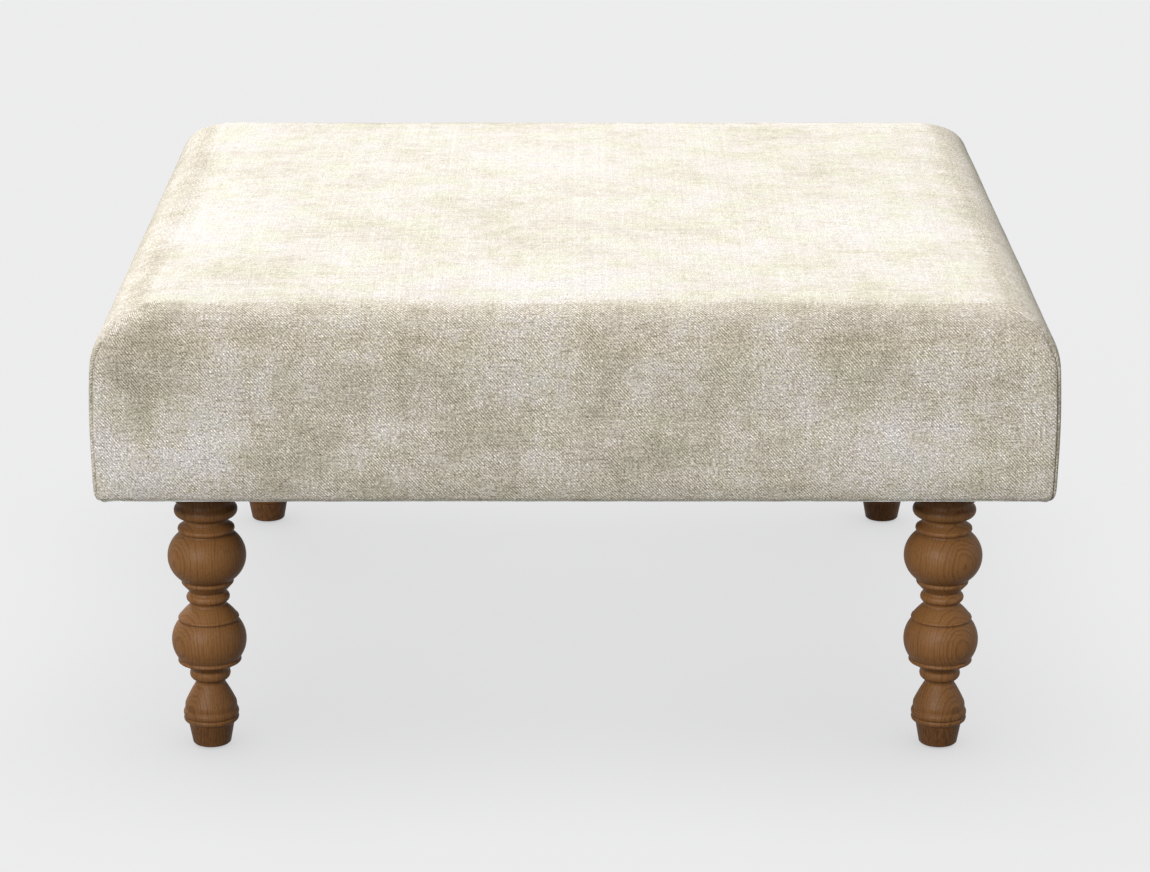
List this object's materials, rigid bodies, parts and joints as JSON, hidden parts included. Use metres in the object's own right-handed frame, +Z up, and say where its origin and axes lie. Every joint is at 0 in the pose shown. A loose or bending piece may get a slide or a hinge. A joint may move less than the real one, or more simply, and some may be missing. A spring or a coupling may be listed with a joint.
{
  "type": "upholstered footstool",
  "caption": "Square upholstered footstool with a deep padded top in mottled cream cloth on turned wooden bobbin legs.",
  "frame": {"origin": "on the floor, under the middle of the seat", "axes": "+Z up, +X to the right in the picture, -Y towards the viewer, the front"},
  "size_m": [0.905, 0.905, 0.4642],
  "materials": {
    "cover_cloth": "mottled cream twill cloth with a soft sheen",
    "wadding": "bonded polyester wadding",
    "foam": "open cell upholstery foam",
    "hessian": "plain woven jute cloth",
    "webbing": "woven jute webbing",
    "dust_cloth": "black felted dust cloth",
    "frame_timber": "sawn and planed hardwood, unfinished",
    "turned_wood": "stained mid-brown hardwood, satin lacquer",
    "zinc_steel": "zinc plated steel",
    "glide_nylon": "brown moulded nylon"
  },
  "bodies": {
    "root": {"top_cover": "cover_cloth", "wadding": "wadding", "foam_block": "foam", "hessian": "hessian", "dust_cloth": "dust_cloth", "front_rail": "frame_timber", "back_rail": "frame_timber", "left_rail": "frame_timber", "right_rail": "frame_timber", "webbing_across_1": "webbing", "webbing_across_2": "webbing", "webbing_across_3": "webbing", "webbing_across_4": "webbing", "webbing_across_5": "webbing", "webbing_along_1": "webbing", "webbing_along_2": "webbing", "webbing_along_3": "webbing", "webbing_along_4": "webbing", "webbing_along_5": "webbing", "front_left_leg": "turned_wood", "front_right_leg": "turned_wood", "back_right_leg": "turned_wood", "back_left_leg": "turned_wood", "front_left_glide": "glide_nylon", "front_right_glide": "glide_nylon", "back_right_glide": "glide_nylon", "back_left_glide": "glide_nylon", "front_left_block": "frame_timber", "front_right_block": "frame_timber", "back_right_block": "frame_timber", "back_left_block": "frame_timber", "front_left_plate": "zinc_steel", "front_right_plate": "zinc_steel", "back_right_plate": "zinc_steel", "back_left_plate": "zinc_steel", "front_left_hanger_bolt": "zinc_steel", "front_right_hanger_bolt": "zinc_steel", "back_right_hanger_bolt": "zinc_steel", "back_left_hanger_bolt": "zinc_steel", "front_left_screw_a": "zinc_steel", "front_left_screw_b": "zinc_steel", "front_left_screw_c": "zinc_steel", "front_left_screw_d": "zinc_steel", "front_right_screw_a": "zinc_steel", "front_right_screw_b": "zinc_steel", "front_right_screw_c": "zinc_steel", "front_right_screw_d": "zinc_steel", "back_right_screw_a": "zinc_steel", "back_right_screw_b": "zinc_steel", "back_right_screw_c": "zinc_steel", "back_right_screw_d": "zinc_steel", "back_left_screw_a": "zinc_steel", "back_left_screw_b": "zinc_steel", "back_left_screw_c": "zinc_steel", "back_left_screw_d": "zinc_steel"}
  },
  "joints": []
}
